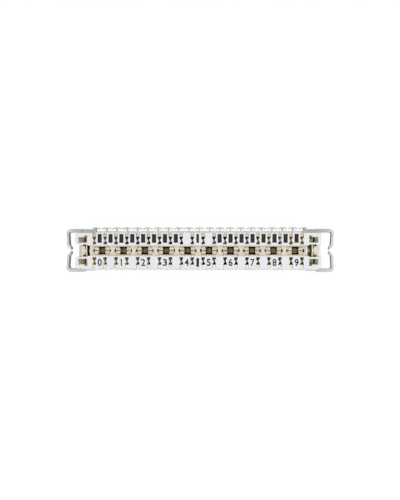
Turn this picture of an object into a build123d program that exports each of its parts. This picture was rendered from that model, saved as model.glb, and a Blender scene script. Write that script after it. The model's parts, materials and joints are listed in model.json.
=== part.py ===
"""Ten-pair disconnection block for punch-down wiring, clipped onto two round mounting rods.

X runs along the block, Y across its two contact rows and Z out of the front face.
The origin is on the surface that the rod clips stand on, midway between the clips.
All sizes are in millimetres.
"""

import os

from build123d import *

os.makedirs("parts", exist_ok=True)

# Wiring layout
pair_count = 10
contact_pitch = 4.8  # wire to wire along a row
fit_gap = 0.05  # clearance between pieces that slide together

# Mounting rods and the clips that grip them
rod_diameter = 12.0
rod_spacing = 95.0
rod_play = 0.05
clip_wall = 1.6
clip_width = 14.0
jaw_reach = 3.4  # rod axis to the jaw tips
jaw_lead_in = 0.4
saddle_height = 3.2

# Base tray
tray_floor = 1.6
tray_depth = 6.7
tray_side_wall = 1.16
tray_end_wall = 0.8
post_width = 2.3  # twelve-sided posts that keep the two contacts of a pair apart
post_height = 16.4
end_post_width = 2.0
end_post_height = 11.3
end_post_offset = 1.15  # start of an end well to the post in it
rear_recess = 0.5
rear_recess_width = 11.0

# Wire guide hooks along the upper edge of the tray
hook_height = 1.68
hook_depth = 2.2
hook_stem = 0.6
hook_clearance = 0.8  # between the heads of two hooks
hook_head_thickness = 0.5
hook_droop = 0.4
guide_post = 1.4
half_head = 1.9  # reach of the half hook on each end post
upper_pad = 0.8  # how far the tray corners stand out
lower_pad = 0.3
pad_depth = 5.0

# Contact housing
body_height = 25.85
body_corner = 0.8
comb_depth = 13.0  # front face to the ceiling of the contact cavity
comb_wall = 0.52  # between a wire slot and the channel
channel_width = 4.6
channel_depth = 6.0
channel_floor = 2.0
channel_lip = 0.8
side_wall = 1.3
cavity_margin = 2.0  # last contact to the end of the cavity
cavity_end_wall = 0.85

# Wire slots, each pinched at the blade
slot_width = 1.55
slot_inward = 1.77  # blade to the inner end of a slot
slot_outward = 1.62  # blade to where the exit ramp starts
pinch_width = 0.4
pinch_taper = 0.75
ramp_length = 1.63
ramp_top = 1.0
ramp_foot = 2.8

# Plug windows in the channel floor, one for each pair
window_play = 0.08  # around the two spring tips
window_end_length = 0.6
window_end_width = 1.45

# Housing ends: an open well between two tool pockets
well_length = 5.55
well_width = 5.5
well_corner = 0.6
pocket_wall = 0.8
pocket_inset = 0.28
pocket_end_wall = 1.4
pocket_width = 2.5
pocket_step = 0.62
pocket_step_length = 1.2
rib_offset = 2.85
rib_thickness = 0.45
rib_height = 11.95

# Snap tongues of the tray, which hook over the housing's end ribs
tongue_gap = 0.4
tongue_back_gap = 0.3
tongue_side_gap = 0.8
barb_width = 1.8
barb_height = 1.3
barb_reach = 0.7

# End brackets: wire ring and rod clip in one moulding
ring_reach = 7.15  # end plate to the outside of the ring
ring_overhang = 0.93  # tray side to the outside of the ring
ring_depth = 4.5
ring_arm = 1.65
ring_upright = 1.05
ring_lean = 0.4
ring_corner = 2.0
ring_inner_corner = 0.9
ring_hook_start = 2.2  # middle plane to the bend of each hook
ring_hook_inset = 2.05
ring_hook_tip = 0.7
ring_mouth = 0.7
end_plate = 1.05
ear_length = 1.2
ear_slant = 0.8
tenon_length = 2.4
tenon_width = 1.8
tenon_offset = 4.4  # middle plane to a tenon
tenon_setback = 4.3  # rod axis to a tenon

# Contact strip
strip = 0.5
blade_width = 3.6
blade_recess = 1.4  # front face to the top of the blade
fork_gap = 0.35
fork_mouth = 1.1
fork_mouth_depth = 0.9
fork_depth = 8.0
spring_width = 1.9
spring_thickness = 0.42
spring_root = 1.35  # middle plane to the root of the spring
spring_flat = 0.6  # height of the faces where two springs touch
flare_recess = 0.25  # channel floor to the tip of a spring
flare_height = 1.3
flare_reach = 1.72
flare_corner = 0.45

# Levels along Z
bore_radius = rod_diameter / 2 + rod_play
clip_radius = bore_radius + clip_wall
rod_z = jaw_reach
rear_z = rod_z + clip_radius
inside_z = rear_z + tray_floor
rim_z = inside_z + tray_depth
front_z = inside_z + body_height
channel_z = front_z - channel_depth
ceiling_z = front_z - comb_depth
flare_z = channel_z - flare_recess

# Places along X
contact_count = 2 * pair_count
contact_xs = [(i - (contact_count - 1) / 2) * contact_pitch for i in range(contact_count)]
pair_xs = [(i - (pair_count - 1) / 2) * 2 * contact_pitch for i in range(pair_count)]
hook_xs = [x + contact_pitch / 2 for x in contact_xs[:-1]]
row_end = contact_xs[-1] + contact_pitch / 2
cavity_end = contact_xs[-1] + cavity_margin
well_start = cavity_end + cavity_end_wall
body_end = well_start + well_length
tray_inside_end = body_end + fit_gap
tray_end = tray_inside_end + tray_end_wall
rib_x = well_start + rib_offset
tongue_x = rib_x + rib_thickness + tongue_gap
clip_x = rod_spacing / 2
tenon_x = clip_x - tenon_setback

# Places along Y
slot_inner = channel_width / 2 + comb_wall
row_offset = slot_inner + slot_inward
slot_outer = row_offset + slot_outward
body_side = slot_outer + ramp_length
tray_side = body_side + fit_gap + tray_side_wall
ring_side = tray_side + ring_overhang
pocket_side = well_width / 2 + pocket_wall

# The lower contacts are the upper ones turned half a turn
upper_spots = [Location((x, 0, 0)) for x in contact_xs]
lower_spots = [Location((x, 0, 0), (0, 0, 180)) for x in contact_xs]

# Contact: a fork blade at 45 degrees and a disconnect spring, bent up from one foot
half_spring = spring_width / 2
half_blade = blade_width / 2
blade_z = front_z - blade_recess
blade_top = blade_z - inside_z
blade_outline = [
    (half_blade, 0),
    (half_blade, blade_top),
    (fork_mouth / 2, blade_top),
    (fork_gap / 2, blade_top - fork_mouth_depth),
    (fork_gap / 2, blade_top - fork_depth),
]
blade_outline += [(-u, v) for u, v in reversed(blade_outline)]

foot_end = row_offset + strip / 2**0.5  # far side of the slanted blade, on its centre line
foot_outline = [
    (-half_spring, spring_root),
    (half_spring, spring_root),
    (half_spring, foot_end + half_spring),
    (-half_spring, foot_end - half_spring),
]

touch_top = flare_z - flare_height
touch_foot = touch_top - spring_flat
spring_outline = [
    (spring_root, inside_z),
    (0, touch_foot),
    (0, touch_top),
    (flare_reach - spring_thickness / 2, flare_z),
    (flare_reach, flare_z - spring_thickness),
    (spring_thickness, touch_top - spring_thickness / 2),
    (spring_thickness, touch_foot),
    (spring_root + spring_thickness, inside_z),
]

flare_corner_outline = [
    (half_spring, flare_reach),
    (half_spring - flare_corner, flare_reach),
    (half_spring, flare_reach - flare_corner),
]

with BuildPart() as contact:
    with BuildSketch(Plane((0, row_offset, inside_z), x_dir=(1, 1, 0), z_dir=(1, -1, 0))):
        Polygon(*blade_outline, align=None)
    extrude(amount=strip / 2, both=True)
    with BuildSketch(Plane.XY.offset(inside_z)):
        Polygon(*foot_outline, align=None)
    extrude(amount=strip)
    with BuildSketch(Plane.YZ):
        Polygon(*spring_outline, align=None)
    extrude(amount=half_spring, both=True)
    with BuildSketch(Plane.XY.offset(flare_z)):
        Polygon(*flare_corner_outline, align=None)
        mirror(about=Plane.YZ)
    extrude(amount=-flare_height, mode=Mode.SUBTRACT)

# Housing: one moulding with both wire combs, the plug channel between them and the two ends
slot_outline = [
    (slot_width / 2, slot_inner),
    (slot_width / 2, row_offset - pinch_taper),
    (pinch_width / 2, row_offset),
    (slot_width / 2, row_offset + pinch_taper),
    (slot_width / 2, slot_outer),
]
slot_outline += [(-u, v) for u, v in reversed(slot_outline)]

ramp_outline = [
    (slot_outer, front_z),
    (slot_outer, front_z - ramp_top),
    (body_side, front_z - ramp_foot),
    (body_side, front_z),
]

cavity_side = body_side - side_wall
cavity_neck = channel_width / 2 - fit_gap
cavity_outline = [
    (cavity_side, inside_z),
    (cavity_side, ceiling_z),
    (cavity_neck, ceiling_z),
    (cavity_neck, channel_z - channel_floor),
]
cavity_outline += [(-u, v) for u, v in reversed(cavity_outline)]

window_length = contact_pitch + spring_width + 2 * window_play
window_width = 2 * (flare_reach + window_play)
pocket_x = well_start + pocket_inset
pocket_length = body_end - pocket_end_wall - pocket_x

with BuildPart() as contact_housing:
    with BuildSketch(Plane.XY.offset(inside_z)):
        RectangleRounded(2 * body_end, 2 * body_side, body_corner)
    extrude(amount=body_height)

    # Plug channel, open at both ends, with a low lip where its floor stops
    with BuildSketch(Plane.XY.offset(front_z)):
        Rectangle(2 * body_end, channel_width)
    extrude(amount=-channel_depth, mode=Mode.SUBTRACT)
    with BuildSketch(Plane.XY.offset(channel_z)):
        with Locations((cavity_end, 0)):
            Rectangle(cavity_end_wall, channel_width, align=(Align.MIN, Align.CENTER))
        mirror(about=Plane.YZ)
    extrude(amount=channel_lip)

    # Contact cavity, open to the rear
    with BuildSketch(Plane.YZ):
        Polygon(*cavity_outline, align=None)
    extrude(amount=cavity_end, both=True, mode=Mode.SUBTRACT)

    # Plug windows
    with BuildSketch(Plane.XY.offset(channel_z)):
        with Locations(*[(x, 0) for x in pair_xs]):
            Rectangle(window_length, window_width)
            Rectangle(window_length + 2 * window_end_length, window_end_width)
    extrude(amount=-channel_floor, mode=Mode.SUBTRACT)

    # Wire slots, the exit ramps, and the slits that the blades are pushed into from the rear
    with BuildSketch(Plane.XY.offset(front_z)):
        with Locations(*upper_spots, *lower_spots):
            Polygon(*slot_outline, align=None)
    extrude(amount=-comb_depth, mode=Mode.SUBTRACT)
    with BuildSketch(*[Plane.YZ.offset(x - slot_width / 2) for x in contact_xs]):
        Polygon(*ramp_outline, align=None)
        mirror(about=Plane.YZ)
    extrude(amount=slot_width, mode=Mode.SUBTRACT)
    with BuildSketch(Plane.XY.offset(ceiling_z)):
        with Locations(*[(x, y) for x in contact_xs for y in (row_offset, -row_offset)]):
            Rectangle(blade_width + 2 * fit_gap, strip + 2 * fit_gap, rotation=45)
    extrude(amount=blade_z + fit_gap - ceiling_z, mode=Mode.SUBTRACT)

    # End wells and tool pockets, then the ribs that cross them lower down
    with BuildSketch(Plane.XY.offset(front_z)) as end_outline:
        with Locations((well_start, 0)):
            Rectangle(well_length, well_width, align=(Align.MIN, Align.CENTER))
        fillet(end_outline.vertices().group_by(Axis.X)[0], well_corner)
        with Locations((pocket_x, pocket_side)):
            Rectangle(pocket_length, pocket_width, align=Align.MIN)
            Rectangle(pocket_step_length, pocket_width + pocket_step, align=Align.MIN)
        with Locations((pocket_x, -pocket_side)):
            Rectangle(pocket_length, pocket_width, align=(Align.MIN, Align.MAX))
            Rectangle(pocket_step_length, pocket_width + pocket_step, align=(Align.MIN, Align.MAX))
        mirror(about=Plane.YZ)
    extrude(amount=-body_height, mode=Mode.SUBTRACT)
    with BuildSketch(Plane.XY.offset(inside_z)):
        with Locations((rib_x, 0)):
            Rectangle(rib_thickness, 2 * (pocket_side + pocket_width), align=(Align.MIN, Align.CENTER))
        mirror(about=Plane.YZ)
    extrude(amount=rib_height)

# Tray: floor, walls, posts, guide hooks and the two snap tongues
hook_half = (contact_pitch - hook_clearance) / 2
hook_under = hook_height - hook_head_thickness
hook_end = hook_height - hook_droop
guide_x = row_end
pad_x = guide_x + guide_post
pad_length = tray_end - ear_length - pad_x
tongue_thickness = tray_inside_end - tongue_back_gap - tongue_x
tongue_width = well_width - 2 * tongue_side_gap
barb_z = inside_z + rib_height + fit_gap

with BuildPart() as base_tray:
    with BuildSketch(Plane.XY.offset(rear_z)):
        Rectangle(2 * tray_end, 2 * tray_side)
    extrude(amount=tray_floor + tray_depth)
    with BuildSketch(Plane.XY.offset(inside_z)):
        Rectangle(2 * tray_inside_end, 2 * (body_side + fit_gap))
    extrude(amount=tray_depth, mode=Mode.SUBTRACT)

    # Corner pads on both edges, and the guide posts at the ends of the upper edge
    with BuildSketch(Plane.XY.offset(rim_z)):
        with Locations((pad_x, tray_side)):
            Rectangle(pad_length, upper_pad, align=Align.MIN)
        with Locations((pad_x, -tray_side)):
            Rectangle(pad_length, lower_pad, align=(Align.MIN, Align.MAX))
        mirror(about=Plane.YZ)
    extrude(amount=-pad_depth)
    with BuildSketch(Plane.XY.offset(rim_z)):
        with Locations((guide_x, tray_side)):
            Rectangle(guide_post, hook_height, align=Align.MIN)
            Polygon(
                (0, hook_height),
                (0, hook_under),
                (-half_head, hook_under - hook_droop),
                (-half_head, hook_end),
                align=None,
            )
        mirror(about=Plane.YZ)
    extrude(amount=-hook_depth)

    # Guide hooks, one between each two wires
    with BuildSketch(mode=Mode.PRIVATE) as hook:
        with BuildLine():
            ThreePointArc((-hook_half, hook_end), (0, hook_height), (hook_half, hook_end))
            Line((hook_half, hook_end), (hook_half, hook_end - hook_head_thickness))
            ThreePointArc(
                (hook_half, hook_end - hook_head_thickness),
                (0, hook_under),
                (-hook_half, hook_end - hook_head_thickness),
            )
            Line((-hook_half, hook_end - hook_head_thickness), (-hook_half, hook_end))
        make_face()
        Rectangle(hook_stem, hook_height - hook_head_thickness / 2, align=(Align.CENTER, Align.MIN))
    with BuildSketch(Plane.XY.offset(rim_z)):
        with Locations(*[(x, tray_side) for x in hook_xs]):
            add(hook.sketch)
    extrude(amount=-hook_depth)

    # Posts under the plug windows and in the end wells, and the holes for the bracket tenons
    with BuildSketch(Plane.XY.offset(inside_z)):
        with Locations(*[(x, 0) for x in pair_xs]):
            RegularPolygon(post_width / 2, 12)
    extrude(amount=post_height)
    with BuildSketch(Plane.XY.offset(inside_z)):
        with Locations((well_start + end_post_offset, 0), (-well_start - end_post_offset, 0)):
            RegularPolygon(end_post_width / 2, 12)
    extrude(amount=end_post_height)
    with BuildSketch(Plane.XY.offset(rear_z)):
        with GridLocations(2 * tenon_x, 2 * tenon_offset, 2, 2):
            Rectangle(tenon_length + 2 * fit_gap, tenon_width + 2 * fit_gap)
    extrude(amount=tray_floor, mode=Mode.SUBTRACT)

    # Shallow rear recess between the clips
    with BuildSketch(Plane.XY.offset(rear_z)):
        Rectangle(rod_spacing - 2 * clip_radius - 2 * clip_wall, rear_recess_width)
    extrude(amount=rear_recess, mode=Mode.SUBTRACT)

    # Snap tongues
    with BuildSketch(Plane.XY.offset(inside_z)):
        with Locations((tongue_x, 0)):
            Rectangle(tongue_thickness, tongue_width, align=(Align.MIN, Align.CENTER))
        mirror(about=Plane.YZ)
    extrude(amount=rib_height + fit_gap + barb_height)
    with BuildSketch(Plane.XZ):
        with BuildLine():
            Polyline(
                (tongue_x, barb_z),
                (tongue_x - barb_reach, barb_z),
                (tongue_x, barb_z + barb_height),
                close=True,
            )
        make_face()
        mirror(about=Plane.YZ)
    extrude(amount=barb_width / 2, both=True)

# End bracket: wire ring, end plate, rod clip and the tenons that hold it under the tray
plate_x = tray_end + fit_gap
plate_end = plate_x + end_plate
ring_end = plate_x + ring_reach
bend_x = ring_end - ring_lean
half_mouth = ring_mouth / 2
ear_thickness = ring_overhang - fit_gap
jaw_half = (bore_radius**2 - jaw_reach**2) ** 0.5

with BuildPart() as end_bracket_right:
    # Upper half of the ring, mirrored for the lower half
    with BuildSketch(Plane.XY.offset(rim_z)) as ring:
        with BuildLine():
            Polyline(
                (plate_x, ring_side),
                (ring_end, ring_side),
                (bend_x, ring_hook_start),
                (bend_x - ring_hook_inset + ring_hook_tip / 2, half_mouth),
                (bend_x - ring_hook_inset, half_mouth + ring_hook_tip),
                (bend_x - ring_upright, ring_hook_start + ring_hook_tip / 2),
                (ring_end - ring_upright, ring_side - ring_arm),
                (plate_x, ring_side - ring_arm),
                close=True,
            )
        make_face()
        fillet(ring.vertices().sort_by_distance((ring_end, ring_side))[0], ring_corner)
        inner_corner = (ring_end - ring_upright, ring_side - ring_arm)
        fillet(ring.vertices().sort_by_distance(inner_corner)[0], ring_inner_corner)
        mirror(about=Plane.XZ)

        # Ears that reach round the tray's corners, the lower one with a slanted end
        with Locations((plate_x, ring_side)):
            Rectangle(ear_length, ear_thickness, align=Align.MAX)
        with Locations((plate_x, -ring_side)):
            Polygon(
                (0, 0),
                (0, ear_thickness),
                (-ear_length, ear_thickness),
                (ear_slant - ear_length, 0),
                align=None,
            )
    extrude(amount=-ring_depth)

    # End plate
    with BuildSketch(Plane.YZ.offset(plate_x)):
        with Locations((0, rim_z)):
            Rectangle(2 * ring_side, rim_z - rear_z + saddle_height, align=(Align.CENTER, Align.MAX))
    extrude(amount=end_plate)

    # Rod clip under a flat saddle
    with BuildSketch(Plane.XZ):
        with Locations((clip_x, rod_z)):
            Circle(clip_radius)
        with Locations((clip_x - clip_radius, rear_z)):
            Rectangle(plate_end - clip_x + clip_radius, saddle_height, align=(Align.MIN, Align.MAX))
        with Locations((clip_x, rod_z)):
            Circle(bore_radius, mode=Mode.SUBTRACT)
        with Locations((clip_x, 0)):
            Rectangle(2 * clip_radius, clip_radius, align=(Align.CENTER, Align.MAX), mode=Mode.SUBTRACT)
            Trapezoid(
                2 * (jaw_half + jaw_lead_in),
                2 * jaw_lead_in,
                60,
                align=(Align.CENTER, Align.MIN),
                mode=Mode.SUBTRACT,
            )
    extrude(amount=clip_width / 2, both=True)

    # Tenons
    with BuildSketch(Plane.XY.offset(rear_z)):
        with Locations((tenon_x, tenon_offset), (tenon_x, -tenon_offset)):
            Rectangle(tenon_length, tenon_width)
    extrude(amount=tray_floor)

with BuildPart() as end_bracket_left:
    mirror(end_bracket_right.part, about=Plane.YZ)

# Writing the pieces
pieces = {
    "contact_housing": contact_housing.part,
    "base_tray": base_tray.part,
    "end_bracket_left": end_bracket_left.part,
    "end_bracket_right": end_bracket_right.part,
}
for number, (upper, lower) in enumerate(zip(upper_spots, lower_spots), start=1):
    pieces[f"contact_upper_{number:02d}"] = contact.part.moved(upper)
    pieces[f"contact_lower_{number:02d}"] = contact.part.moved(lower)

for label, piece in pieces.items():
    piece.label = label
    export_step(piece, f"parts/{label}.step")
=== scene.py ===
"""Looks of the ten-pair disconnection block: finishes, printed marks, studio and camera.

Sizes are in metres, in the CAD part's own frame: X along the block, Y across its two contact rows
and Z out of the front face, which the camera looks straight down on.
"""

import json

import bmesh
import bpy
from mathutils import Matrix, Vector


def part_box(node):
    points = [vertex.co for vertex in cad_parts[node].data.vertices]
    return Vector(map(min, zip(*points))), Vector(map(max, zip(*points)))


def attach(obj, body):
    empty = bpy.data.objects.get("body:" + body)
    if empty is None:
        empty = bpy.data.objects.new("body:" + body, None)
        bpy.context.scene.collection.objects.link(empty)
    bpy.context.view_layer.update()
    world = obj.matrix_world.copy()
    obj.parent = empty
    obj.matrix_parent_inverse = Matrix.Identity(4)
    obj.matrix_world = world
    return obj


MM = 0.001

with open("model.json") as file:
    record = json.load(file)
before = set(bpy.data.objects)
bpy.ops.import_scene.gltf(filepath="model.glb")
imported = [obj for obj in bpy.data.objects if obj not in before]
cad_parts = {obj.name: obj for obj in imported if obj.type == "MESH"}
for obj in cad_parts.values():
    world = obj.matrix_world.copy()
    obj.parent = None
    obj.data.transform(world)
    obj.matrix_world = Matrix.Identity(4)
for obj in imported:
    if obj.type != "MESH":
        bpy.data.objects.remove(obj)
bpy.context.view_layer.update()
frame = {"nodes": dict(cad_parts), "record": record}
nodes = frame["nodes"]

# Places taken from the frame
body_end, body_side, front_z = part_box("contact_housing")[1]
contact_count = 20
contact_boxes = [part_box(f"contact_upper_{n:02d}") for n in range(1, contact_count + 1)]
contact_xs = [(low.x + high.x) / 2 for low, high in contact_boxes]
contact_pitch = (contact_xs[-1] - contact_xs[0]) / (contact_count - 1)
gap_xs = [x + contact_pitch / 2 for x in contact_xs[:-1]]

# Places along the block, from its middle
pad_end = 47.5 * MM  # inner end of the corner pads, past the last slots
pocket_fade = (body_end - 4.0 * MM, body_end - 3.0 * MM)  # where the pockets' painted light begins
rib_x = body_end - 2.7 * MM  # inner faces of the ribs that cross the end wells
post_end = rib_x - 0.2 * MM  # past the posts in the end wells, before the snap tongues
barb_end = rib_x + 0.85 * MM  # where the tongues' barbs, over the ribs, join the tongues
end_fade = (body_end - 2.4 * MM, body_end - 0.8 * MM)  # from the housing's inside to its ends
ring_root = body_end + 2.2 * MM  # where the end rings leave their plates
ring_inside = body_end + 6.46 * MM  # inner faces of the rings' uprights, at their gap
ring_lean = 0.0692  # how far the uprights lean out along their length
upright_fade = (body_end + 4.0 * MM, body_end + 7.0 * MM)  # from the rings' arms to their uprights

# Places across the block, from its middle
meeting_fade = (0.12 * MM, 0.3 * MM)  # from the line where two springs meet to their tips
slit_side = 0.6 * MM  # narrow ends of the plug windows
plug_side = 1.1 * MM  # what a plug window shows between its springs
window_side = 2.2 * MM  # just past the long walls of the plug windows
blade_fade = (2.0 * MM, 2.6 * MM)  # from the springs to the fork blades
channel_side = 2.6 * MM  # just past the walls of the channel
ring_gap = 2.7 * MM  # hooks at the gaps of the end rings
slot_side = 2.9 * MM  # where the slots begin, beside the channel
pocket_side = 3.5 * MM  # inner walls of the tool pockets
pocket_dark = (5.2 * MM, 5.5 * MM)  # where the painted light in the pockets drops, away from the end wells
exit_side = 6.3 * MM  # where the slots turn into the ramps that lead the wires out
body_skin = body_side - 0.01 * MM  # just inside the housing's long sides
arm_inside = body_side + 0.52 * MM  # inner faces of the rings' arms
tray_side = body_side + 1.22 * MM  # outer faces of the tray's walls
pad_side = tray_side + 0.85 * MM  # outer faces of the corner pads

# Soft steps from the lower row to the upper one
row_fade = (-1.0 * MM, 1.0 * MM)
lower_floor_end = (-1.4 * MM, -1.0 * MM)
upper_wall_start = (0.9 * MM, 1.3 * MM)
upper_arm_start = (body_side - 2.0 * MM, body_side)

# Places in height
plate_front = 19.2 * MM  # front edges of the end plates
barb_z = front_z - 14.5 * MM  # just behind the barbs
tray_painted_light_z = front_z - 12.0 * MM  # painted light on the tray behind this, where the windows show it

# Reach of a plug window's parts from its middle, along the block
post_reach = 1.7 * MM
spring_reach = 3.4 * MM

# Soft steps in depth behind the front face, as shares of the shade depth
shade_depth = 20.0 * MM
in_pockets = (0.0, 0.08)
under_face = (0.01, 0.03)
in_slots = (0.01, 0.04)
on_channel_floor = (0.27, 0.29)
under_channel_floor = (0.31, 0.33)
behind_springs = (0.34, 0.4)
on_rib_tops = (0.6, 0.62)
under_pocket_light = (0.66, 0.76)
under_rib_tops = (0.7, 0.715)
on_rib_walls = (0.74, 0.8)

# Painted light in the wire slots: where it grows towards either end, and its shares
left_fade = (-46.0 * MM, -30.0 * MM)
right_fade = (-15.0 * MM, 30.0 * MM)
upper_left_light = 0.8
lower_light = 0.5
lower_left_light = 0.4

# Printed marks beside the wire slots
ink_thickness = 0.02 * MM
bar_width = 1.84 * MM
divider_width = 1.16 * MM
bar_height = 3.9 * MM
upper_bar_y = 5.42 * MM
lower_bar_y = -5.11 * MM
digit_height = 3.18 * MM
digit_width = 1.8 * MM
digit_weight = 0.022  # how far each outline is spread, in letter heights
digit_y = -5.11 * MM
one_stem = 0.46 * MM
one_flag = 0.42 * MM
flag_tip_top = 1.4 * one_flag  # these three are measured down from the top of the 1
flag_tip_bottom = 2.3 * one_flag
flag_root = 1.5 * one_flag
middle_gap = contact_count // 2 - 1
blank_gaps = (middle_gap - 1, middle_gap + 1)

# Studio
floor_drop = 0.1 * MM
floor_reach = 3.0
floor_fade = (0.1, 1.2)  # from the shadowed paper near the block to the white far from it
paper_grey = 0.06
sheen_grey = 0.15
near_white = 0.9
dim_light = 0.06
overhead_light = 0.1
key_place = Vector((0.04, -0.02, 1.0))
key_target = Vector((0.0, 0.0, front_z))
key_size = (0.7, 0.7)
key_power = 7.25
fill_distance = 0.6
fill_height = 0.055
fill_target = Vector((0.0, 0.0, 0.02))
fill_size = (0.5, 0.1)
fill_power = 1.3
camera_place = Vector((13.18, 2.42, 377.5)) * MM
camera_target = Vector((1.01, 0.33, 38.5)) * MM
sensor_width = 36.0  # in millimetres, as is the focal length
focal_length = 55.7
nearest_seen = 0.01
farthest_seen = 20.0


class Value:
    """A shader socket that takes part in Python arithmetic."""

    def __init__(self, shader, socket):
        self.shader = shader
        self.socket = socket

    def math(self, operation, *others):
        return self.shader.node("ShaderNodeMath", {"operation": operation}, [self, *others]).out("Value")

    def __add__(self, other):
        return self.math("ADD", other)

    __radd__ = __add__

    def __mul__(self, other):
        return self.math("MULTIPLY", other)

    __rmul__ = __mul__

    def __sub__(self, other):
        return self.math("SUBTRACT", other)

    def __rsub__(self, other):
        return self.shader.node("ShaderNodeMath", {"operation": "SUBTRACT"}, [other, self]).out("Value")

    def __truediv__(self, other):
        return self.math("DIVIDE", other)

    def __abs__(self):
        return self.math("ABSOLUTE")

    def below(self, limit):
        return self.math("LESS_THAN", limit)

    def between(self, low, high):
        """0 up to low, 1 from high, and a soft step from one to the other."""
        settings = {"interpolation_type": "SMOOTHSTEP"}
        sockets = {"Value": self, "From Min": low, "From Max": high}
        return self.shader.node("ShaderNodeMapRange", settings, sockets).out("Result")


class Made:
    """A node that was added to a shader."""

    def __init__(self, shader, node):
        self.shader = shader
        self.node = node

    def out(self, name):
        return Value(self.shader, self.node.outputs[name])


class Shader:
    """A node tree and the one method that adds nodes to it."""

    def __init__(self, tree):
        self.tree = tree
        self.tree.nodes.clear()

    def node(self, kind, settings=None, sockets=None):
        made = self.tree.nodes.new(kind)
        for key, value in (settings or {}).items():
            if key == "stops":
                self.set_stops(made.color_ramp, value)
            else:
                setattr(made, key, value)
        filled = enumerate(sockets) if isinstance(sockets, list) else (sockets or {}).items()
        for key, value in filled:
            if isinstance(value, Value):
                self.tree.links.new(value.socket, made.inputs[key])
            else:
                made.inputs[key].default_value = value
        return Made(self, made)

    @staticmethod
    def set_stops(ramp, stops):
        while len(ramp.elements) < len(stops):
            ramp.elements.new(1.0)
        for element, (position, colour) in zip(ramp.elements, stops):
            element.position = position
            element.color = colour

    def mix(self, factor, low, high):
        """A colour between two colours."""
        sockets = {0: factor, 6: low, 7: high}
        made = self.node("ShaderNodeMix", {"data_type": "RGBA"}, sockets)
        return Value(self, made.node.outputs[2])

    def place(self):
        return self.node("ShaderNodeTexCoord").out("Object")

    def axes(self):
        split = self.node("ShaderNodeSeparateXYZ", {}, [self.place()])
        return split.out("X"), split.out("Y"), split.out("Z")

    def noise(self, size, detail=2.0):
        """Even noise from 0 to 1 with spots of about the given size."""
        sockets = {"Vector": self.place(), "Scale": 1.0 / size, "Detail": detail}
        return self.node("ShaderNodeTexNoise", {}, sockets).out("Fac")


def srgb(red, green, blue):
    """A linear colour from 8-bit display values."""
    def linear(value):
        v = value / 255.0
        return v / 12.92 if v <= 0.04045 else ((v + 0.055) / 1.055) ** 2.4

    return (linear(red), linear(green), linear(blue), 1.0)


def grey(level):
    """A linear grey."""
    return (level, level, level, 1.0)


def new_shader(name):
    material = bpy.data.materials.new(name)
    material.use_nodes = True
    return material, Shader(material.node_tree)


def surface(shader, colour, roughness, metallic=0.0, normal=None, specular=0.5, glow=None):
    """Ends a material in one Principled shader."""
    sockets = {
        "Base Color": colour,
        "Roughness": roughness,
        "Metallic": metallic,
        "Specular IOR Level": specular,
    }
    if normal is not None:
        sockets["Normal"] = normal
    # glow is painted light: an emission colour that no lamp gives
    if glow is not None:
        sockets["Emission Color"] = glow
        sockets["Emission Strength"] = 1.0
    end = shader.node("ShaderNodeBsdfPrincipled", {}, sockets).out("BSDF")
    shader.node("ShaderNodeOutputMaterial", {}, {"Surface": end})


def moulded_normal(shader, edge_radius, grain_size, grain_depth):
    """Slightly rounded edges and the fine grain of a spark-eroded mould."""
    edges = shader.node("ShaderNodeBevel", {"samples": 6}, {"Radius": edge_radius}).out("Normal")
    grain = shader.noise(grain_size, detail=3.0)
    sockets = {"Strength": 0.35, "Distance": grain_depth, "Height": grain, "Normal": edges}
    return shader.node("ShaderNodeBump", {}, sockets).out("Normal")


def uneven(shader, least, spread, spot):
    """A roughness that wanders a little over a surface, in spots of the given size."""
    return least + spread * shader.noise(spot)


def lit(shader, lights):
    """Dim painted light: an emission built from masks that each show a colour."""
    glow = grey(0.0)
    for mask, colour in lights:
        glow = shader.mix(mask, glow, colour)
    return glow


# Finishes

# Painted light: a brown glow behind the narrow ends of the plug windows
window_painted_light = srgb(66, 46, 12)


def from_window_middle(x):
    """Distance along the block from the middle of the nearest plug window."""
    window_pitch = 2.0 * contact_pitch
    return abs((x / window_pitch).math("FRACT") - 0.5) * window_pitch


def at_window_ends(x, y):
    """1 behind the narrow ends of the plug windows."""
    beside_springs = from_window_middle(x).between(spring_reach - 0.4 * MM, spring_reach)
    beside_springs = beside_springs * abs(x).below(pad_end)
    return beside_springs * (1.0 - abs(y).between(0.7 * plug_side, plug_side))


def at_slots(x, y):
    """1 in the two combs of wire slots, with their exits."""
    return abs(y).between(slot_side - 0.1 * MM, slot_side) * abs(x).below(pad_end)


def at_exits(y):
    """1 in the ramps that lead the wires out of the slots."""
    return abs(y).between(exit_side - 0.3 * MM, exit_side)


def housing_colour(shader, x, y, depth, inside):
    """White outside, with painted shade and light inside: warmer and cream with depth, dark brown deep
    down, brown on the slot walls, tan on the upper exit ramps and pale on the lower ones.
    """
    # Painted shade and light: the colour warms with depth, stays pale cream to about 14 mm down so the
    # hollows read as lit, then turns dark brown as shade
    stops = [
        (0.0, srgb(236, 239, 241)),
        (0.03, srgb(236, 232, 224)),
        (0.26, srgb(231, 227, 217)),
        (0.3, srgb(226, 221, 209)),
        (0.4, srgb(238, 228, 202)),
        (0.71, srgb(236, 226, 196)),
        (0.78, srgb(66, 56, 34)),
        (1.0, srgb(48, 40, 24)),
    ]
    inner = shader.node("ShaderNodeValToRGB", {"stops": stops}, {"Fac": depth}).out("Color")
    # Painted shade: upper exit ramps tan and lower ones pale as if lit from below, and the slot walls
    # brown where they lie in shade
    exits = shader.mix(y.between(*row_fade), srgb(235, 236, 232), srgb(209, 198, 178))
    slot_shade = shader.mix(at_exits(y), srgb(178, 148, 98), exits)
    inner = shader.mix(at_slots(x, y) * depth.between(*under_face), inner, slot_shade)
    cloud = shader.noise(9.0 * MM, detail=3.0)
    outer = shader.mix(cloud, srgb(234, 237, 238), srgb(238, 240, 241))
    return shader.mix(inside, outer, inner)


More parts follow.
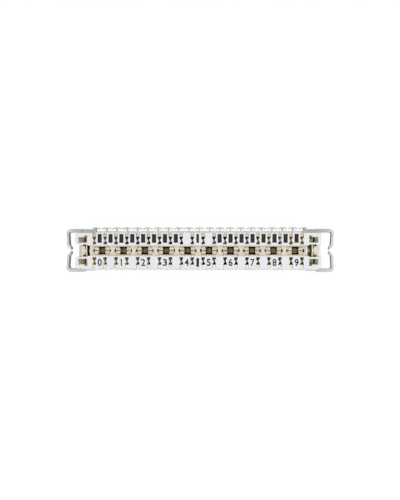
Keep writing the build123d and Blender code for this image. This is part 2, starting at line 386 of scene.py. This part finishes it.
def housing_light(shader, x, y, depth, inside):
    """Painted light in the pockets, slots, windows, channel and end wells of the white moulding, where
    lamp light hardly reaches.
    """
    pockets = inside * abs(x).between(*pocket_fade)
    pockets = pockets * abs(y).between(pocket_side - 0.4 * MM, pocket_side)
    pockets = pockets * depth.between(*in_pockets) * (1.0 - depth.between(*under_pocket_light))

    window_ends = at_window_ends(x, y) * depth.between(*behind_springs)

    left_end = 1.0 - x.between(*left_fade)
    upper_slots = x.between(*right_fade) + upper_left_light * left_end
    lower_slots = lower_light + lower_left_light * left_end
    lower_row = y.below(0.0)
    slots = lower_row * lower_slots + (1.0 - lower_row) * upper_slots
    slots = slots * inside * at_slots(x, y) * (1.0 - at_exits(y)) * depth.between(*in_slots)

    window_walls = from_window_middle(x).between(post_reach - 0.3 * MM, post_reach)
    window_walls = window_walls * abs(y).between(slit_side - 0.1 * MM, slit_side)
    window_walls = window_walls * abs(y).below(window_side) * abs(x).below(pad_end)
    window_walls = window_walls * depth.between(*under_channel_floor)
    wall_painted_light = shader.mix(y.between(*upper_wall_start), srgb(136, 124, 104), srgb(96, 80, 52))

    lower_floor = 1.0 - y.between(*lower_floor_end)
    lower_floor = lower_floor * abs(y).below(channel_side) * abs(x).below(pad_end)
    lower_floor = lower_floor * depth.between(*on_channel_floor)
    lower_floor = lower_floor * (1.0 - depth.between(*under_channel_floor))

    rib_tops = abs(x).between(rib_x - 0.05 * MM, rib_x + 0.05 * MM) * abs(y).below(pocket_side)
    rib_tops = rib_tops * inside * depth.between(*on_rib_tops)
    rib_tops = rib_tops * (1.0 - depth.between(*under_rib_tops))

    right_rib = x.between(rib_x - 0.1 * MM, rib_x - 0.05 * MM) * x.below(rib_x + 0.1 * MM)
    right_rib = right_rib * depth.between(*on_rib_walls)
    in_pocket = abs(y).between(pocket_side, pocket_side + 0.2 * MM)
    in_pocket = in_pocket * (1.0 - abs(y).between(*pocket_dark))
    rib_painted_light = shader.mix(in_pocket, srgb(44, 44, 38), srgb(140, 135, 112))

    # Painted light: each mask gives its hollow a glow of its colour
    return lit(shader, [
        (pockets, srgb(100, 92, 66)),
        (window_ends, window_painted_light),
        (slots, srgb(84, 68, 42)),
        (window_walls, wall_painted_light),
        (lower_floor, srgb(86, 81, 71)),
        (rib_tops, srgb(120, 112, 96)),
        (right_rib, rib_painted_light),
    ])


def housing_white():
    """Satin white moulding, with painted shade from cream to brown inside and painted light in its
    hollows.
    """
    material, shader = new_shader("housing_white")
    x, y, z = shader.axes()
    depth = (front_z - z) / shade_depth
    inside = (1.0 - abs(x).between(*end_fade)) * abs(y).below(body_skin)
    colour = housing_colour(shader, x, y, depth, inside)
    glow = housing_light(shader, x, y, depth, inside)
    roughness = uneven(shader, least=0.42, spread=0.1, spot=1.5 * MM)
    normal = moulded_normal(shader, 0.09 * MM, grain_size=0.22 * MM, grain_depth=0.012 * MM)
    surface(shader, colour, roughness, normal=normal, glow=glow)
    return material


def tray_colour(shader, x, y):
    """Light grey walls with painted shade on the upper side, hooks and pads, and painted shade and light
    inside the housing: olive, khaki and cream.
    """
    cloud = shader.noise(7.0 * MM, detail=3.0)
    # Painted shade: the upper side darker than the lower, as if lit from below
    upper = shader.mix(cloud, srgb(228, 229, 228), srgb(234, 235, 234))
    lower = shader.mix(cloud, srgb(240, 243, 244), srgb(245, 247, 248))
    # Painted shade: hooks and corner pads darker than the walls
    hooks = shader.mix(cloud, srgb(206, 202, 193), srgb(214, 210, 202))
    pads = shader.mix(cloud, srgb(188, 188, 184), srgb(196, 196, 192))
    edge = shader.mix(abs(x).below(pad_end), pads, hooks)
    edge = shader.mix(y.below(pad_side), hooks, edge)
    outer = shader.mix(y.between(-body_side, body_side), lower, upper)
    outer = shader.mix(abs(y).below(tray_side), edge, outer)
    above_pads = y.between(body_side, body_side + 0.1 * MM)
    above_pads = above_pads * abs(x).between(pad_end, pad_end + 0.1 * MM)
    outer = shader.mix(above_pads, outer, pads)
    # Painted shade: olive deep inside the housing and khaki on the end posts; painted light: cream on
    # the snap tongues
    olive = shader.mix(cloud, srgb(106, 83, 28), srgb(118, 94, 36))
    cream = shader.mix(cloud, srgb(242, 236, 222), srgb(246, 241, 228))
    before_tongues = abs(x).below(post_end)
    end_posts = (1.0 - abs(x).below(pad_end)) * before_tongues
    inner = shader.mix(before_tongues, cream, olive)
    inner = shader.mix(end_posts, inner, srgb(176, 168, 140))
    inside = abs(y).below(body_side) * abs(x).below(body_end)
    return shader.mix(inside, outer, inner)


def tray_grey():
    """Satin grey moulding, with a little painted light behind the windows and on the tongues' barbs."""
    material, shader = new_shader("tray_grey")
    x, y, z = shader.axes()
    # Painted light on the tongues' barbs, in the end wells
    barbs = (1.0 - abs(x).below(rib_x)) * abs(x).below(barb_end)
    barbs = barbs * abs(y).below(pocket_side) * (1.0 - z.below(barb_z))
    glow = lit(shader, [
        (at_window_ends(x, y) * z.below(tray_painted_light_z), window_painted_light),
        (barbs, srgb(132, 124, 108)),
    ])
    roughness = uneven(shader, least=0.45, spread=0.12, spot=1.2 * MM)
    normal = moulded_normal(shader, 0.1 * MM, grain_size=0.25 * MM, grain_depth=0.015 * MM)
    surface(shader, tray_colour(shader, x, y), roughness, normal=normal, specular=0.3, glow=glow)
    return material


def bracket_grey():
    """Cooler grey moulding with painted shade and light: upper arms darker, uprights paler, rings darker
    inside and the plates' edges in the end wells paler.
    """
    material, shader = new_shader("bracket_grey")
    x, y, z = shader.axes()
    cloud = shader.noise(7.0 * MM, detail=3.0)
    # Painted shade: upper arms darker than lower ones and uprights paler, as if lit from below
    lower = shader.mix(cloud, srgb(196, 199, 198), srgb(204, 207, 206))
    upper = shader.mix(cloud, srgb(178, 180, 177), srgb(186, 188, 185))
    arms = shader.mix(y.between(*upper_arm_start), lower, upper)
    uprights = shader.mix(cloud, srgb(206, 209, 208), srgb(214, 217, 216))
    colour = shader.mix(abs(x).between(*upright_fade), arms, uprights)
    # Painted light: the plates' edges in the end wells paler, the right one most
    plates = shader.mix(x.between(-body_end, body_end), srgb(216, 215, 210), srgb(244, 246, 246))
    painted_plate_edges = abs(y).below(pocket_side) * abs(x).below(ring_root)
    painted_plate_edges = painted_plate_edges * z.between(plate_front - 0.3 * MM, plate_front)
    colour = shader.mix(painted_plate_edges, colour, plates)
    # Painted shade on the inner faces of the rings
    ring_inner_shade = (abs(x) - ring_lean * abs(y)).below(ring_inside) * abs(y).below(arm_inside)
    ring_inner_shade = ring_inner_shade * (1.0 - abs(y).below(ring_gap)) * (1.0 - abs(x).below(ring_root))
    colour = shader.mix(ring_inner_shade, colour, srgb(164, 164, 158))
    roughness = uneven(shader, least=0.45, spread=0.12, spot=1.2 * MM)
    normal = moulded_normal(shader, 0.14 * MM, grain_size=0.25 * MM, grain_depth=0.015 * MM)
    surface(shader, colour, roughness, normal=normal)
    return material


def plated_strip():
    """Silver-plated springs, with the fork blades warmer where the brass shows, and a painted brown
    shade with a painted glow where two springs meet.
    """
    material, shader = new_shader("plated_strip")
    y = shader.axes()[1]
    blade = abs(y).between(*blade_fade)
    tarnish = shader.noise(0.8 * MM, detail=3.0)
    silver = shader.mix(tarnish, srgb(239, 230, 218), srgb(245, 239, 230))
    brass = shader.mix(tarnish, srgb(208, 182, 132), srgb(234, 214, 174))
    # Painted shade and painted light along the crease where two springs meet
    meeting_shade = 1.0 - abs(y).between(*meeting_fade)
    colour = shader.mix(meeting_shade, shader.mix(blade, silver, brass), srgb(124, 98, 50))
    glow = lit(shader, [(meeting_shade, srgb(62, 50, 26))])
    roughness = uneven(shader, least=0.38, spread=0.16, spot=0.5 * MM)
    grain = shader.noise(0.12 * MM)
    sockets = {"Strength": 0.15, "Distance": 0.01 * MM, "Height": grain}
    normal = shader.node("ShaderNodeBump", {}, sockets).out("Normal")
    surface(shader, colour, roughness, metallic=0.1 + 0.25 * blade, normal=normal, glow=glow)
    return material


def printing_ink():
    """Matt dark grey pad print with a little uneven cover."""
    material, shader = new_shader("printing_ink")
    colour = shader.mix(shader.noise(0.3 * MM), srgb(36, 35, 36), srgb(44, 43, 44))
    roughness = uneven(shader, least=0.55, spread=0.1, spot=0.6 * MM)
    surface(shader, colour, roughness, specular=0.15)
    return material


finishes = {
    "housing_plastic": housing_white(),
    "tray_plastic": tray_grey(),
    "bracket_plastic": bracket_grey(),
    "contact_metal": plated_strip(),
}
for part in frame["record"]["subparts"]:
    nodes[part["node"]].material_slots[0].material = finishes[part["material_slot"]]
ink = printing_ink()


# Printed marks

def mesh_of(shape, name):
    """Turns a bmesh into a mesh and frees it."""
    mesh = bpy.data.meshes.new(name)
    shape.to_mesh(mesh)
    shape.free()
    return mesh


def finish_piece(name, mesh, material):
    """Shows a mesh as a piece of the object."""
    mesh.materials.clear()
    mesh.materials.append(material)
    piece = bpy.data.objects.new(name, mesh)
    bpy.context.scene.collection.objects.link(piece)
    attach(piece, "root")


def printed_bars():
    """Bars between the wires of the upper row, and the thin middle divider of both rows."""
    marks = bmesh.new()
    for index, x in enumerate(gap_xs):
        if index in blank_gaps:
            continue
        rows = (upper_bar_y, lower_bar_y) if index == middle_gap else (upper_bar_y,)
        width = divider_width if index == middle_gap else bar_width
        size = Matrix.Diagonal((width, bar_height, ink_thickness, 1.0))
        for y in rows:
            bmesh.ops.create_cube(marks, size=1.0, matrix=Matrix.Translation((x, y, front_z)) @ size)
    finish_piece("printed_bars", mesh_of(marks, "printed_bars"), ink)


def printed_digit(number, x):
    """One pair number of the lower row, from Blender's own letters."""
    curve = bpy.data.curves.new(f"pair_number_{number}", "FONT")
    curve.body = str(number)
    curve.extrude = 0.5
    curve.offset = digit_weight
    curve.resolution_u = 6
    source = bpy.data.objects.new(curve.name, curve)
    bpy.context.scene.collection.objects.link(source)
    bpy.context.view_layer.update()
    mesh = bpy.data.meshes.new_from_object(source.evaluated_get(bpy.context.evaluated_depsgraph_get()))
    bpy.data.objects.remove(source)
    xs = [v.co.x for v in mesh.vertices]
    ys = [v.co.y for v in mesh.vertices]
    centre = Vector(((min(xs) + max(xs)) / 2, (min(ys) + max(ys)) / 2, 0.0))
    wide = digit_width / (max(xs) - min(xs))
    tall = digit_height / (max(ys) - min(ys))
    size = Matrix.Diagonal((wide, tall, ink_thickness, 1.0))
    mesh.transform(Matrix.Translation((x, digit_y, front_z)) @ size @ Matrix.Translation(-centre))
    finish_piece(f"pair_number_{number}", mesh, ink)


def printed_one(x):
    """The pair number 1: a stem with a short flag."""
    top = digit_height / 2
    side = one_stem / 2
    outline = [
        (-side, -top),
        (side, -top),
        (side, top),
        (-side, top),
        (-side - one_flag, top - flag_tip_top),
        (-side - one_flag, top - flag_tip_bottom),
        (-side, top - flag_root),
    ]
    mark = bmesh.new()
    corners = [mark.verts.new((x + u, digit_y + v, front_z - ink_thickness / 2)) for u, v in outline]
    face = mark.faces.new(corners)
    raised = bmesh.ops.extrude_face_region(mark, geom=[face])["geom"]
    raised_corners = [item for item in raised if isinstance(item, bmesh.types.BMVert)]
    bmesh.ops.translate(mark, verts=raised_corners, vec=(0.0, 0.0, ink_thickness))
    bmesh.ops.recalc_face_normals(mark, faces=mark.faces)
    finish_piece("pair_number_1", mesh_of(mark, "pair_number_1"), ink)


printed_bars()
for number, x in enumerate(gap_xs[::2]):
    if number == 1:
        printed_one(x)
    else:
        printed_digit(number, x)


# Studio

def background_rays(shader):
    """1 for the rays that show the background: seen, mirrored or through glass."""
    path = shader.node("ShaderNodeLightPath")
    seen = path.out("Is Camera Ray").math("MAXIMUM", path.out("Is Glossy Ray"))
    return seen.math("MAXIMUM", path.out("Is Transmission Ray"))


def floor_paper():
    """Paper that throws little light back on the block and is white where it is seen."""
    material, shader = new_shader("studio_floor")
    x, y, _ = shader.axes()
    far = (x * x + y * y).math("SQRT").between(*floor_fade)
    paper = shader.node("ShaderNodeBsdfDiffuse", {}, {"Color": grey(paper_grey)}).out("BSDF")
    sheen = shader.node("ShaderNodeBsdfDiffuse", {}, {"Color": grey(sheen_grey)}).out("BSDF")
    backlight = shader.mix(far, grey(near_white), grey(1.0))
    glow = shader.node("ShaderNodeEmission", {}, {"Color": backlight}).out("Emission")
    shown = shader.node("ShaderNodeAddShader", {}, [sheen, glow]).out("Shader")
    both = shader.node("ShaderNodeMixShader", {}, [background_rays(shader), paper, shown]).out("Shader")
    shader.node("ShaderNodeOutputMaterial", {}, {"Surface": both})
    return material


def studio_floor():
    """Pale floor that reads as white behind the object and keeps its soft shadow."""
    plane = bmesh.new()
    level = Matrix.Translation((0.0, 0.0, -floor_drop))
    bmesh.ops.create_grid(plane, x_segments=1, y_segments=1, size=floor_reach, matrix=level)
    mesh = mesh_of(plane, "studio_floor")
    mesh.materials.append(floor_paper())
    floor = bpy.data.objects.new("studio_floor", mesh)
    bpy.context.scene.collection.objects.link(floor)


def studio_world():
    """Dim surround, brighter overhead and white where it shows as background."""
    world = bpy.data.worlds.new("studio_world")
    bpy.context.scene.world = world
    world.use_nodes = True
    shader = Shader(world.node_tree)
    direction = shader.node("ShaderNodeTexCoord").out("Generated")
    height = shader.node("ShaderNodeSeparateXYZ", {}, [direction]).out("Z")
    glow = dim_light + overhead_light * height.between(0.0, 1.0)
    strength = glow + background_rays(shader) * (1.0 - glow)
    back = shader.node("ShaderNodeBackground", {}, {"Color": grey(1.0), "Strength": strength})
    shader.node("ShaderNodeOutputWorld", {}, {"Surface": back.out("Background")})


def softbox(name, place, target, size, power):
    """Soft lamp of a given width and height, aimed at a point."""
    lamp = bpy.data.lights.new(name, "AREA")
    lamp.shape = "RECTANGLE"
    lamp.size, lamp.size_y = size
    lamp.energy = power
    holder = bpy.data.objects.new(name, lamp)
    holder.location = place
    holder.rotation_euler = (target - place).to_track_quat("-Z", "Y").to_euler()
    bpy.context.scene.collection.objects.link(holder)


def photo_camera():
    """Camera in front of the block, a little right of its middle and aimed near it."""
    camera = bpy.data.cameras.new("photo_camera")
    camera.sensor_width = sensor_width
    camera.lens = focal_length
    camera.clip_start = nearest_seen
    camera.clip_end = farthest_seen
    ahead = (camera_target - camera_place).normalized()
    right = ahead.cross(Vector((0.0, 1.0, 0.0))).normalized()
    turn = Matrix((right, right.cross(ahead), -ahead)).transposed()
    holder = bpy.data.objects.new("photo_camera", camera)
    holder.location = camera_place
    holder.rotation_euler = turn.to_euler()
    bpy.context.scene.collection.objects.link(holder)
    bpy.context.scene.camera = holder


studio_floor()
studio_world()
softbox("front_key", key_place, key_target, key_size, key_power)
for side in (-1, 1):
    end_place = Vector((fill_distance * side, 0.0, fill_height))
    side_place = Vector((0.0, fill_distance * side, fill_height))
    softbox(f"end_fill_{side}", end_place, fill_target, fill_size, fill_power)
    softbox(f"side_fill_{side}", side_place, fill_target, fill_size, fill_power)
photo_camera()
bpy.context.scene.view_settings.view_transform = "Standard"
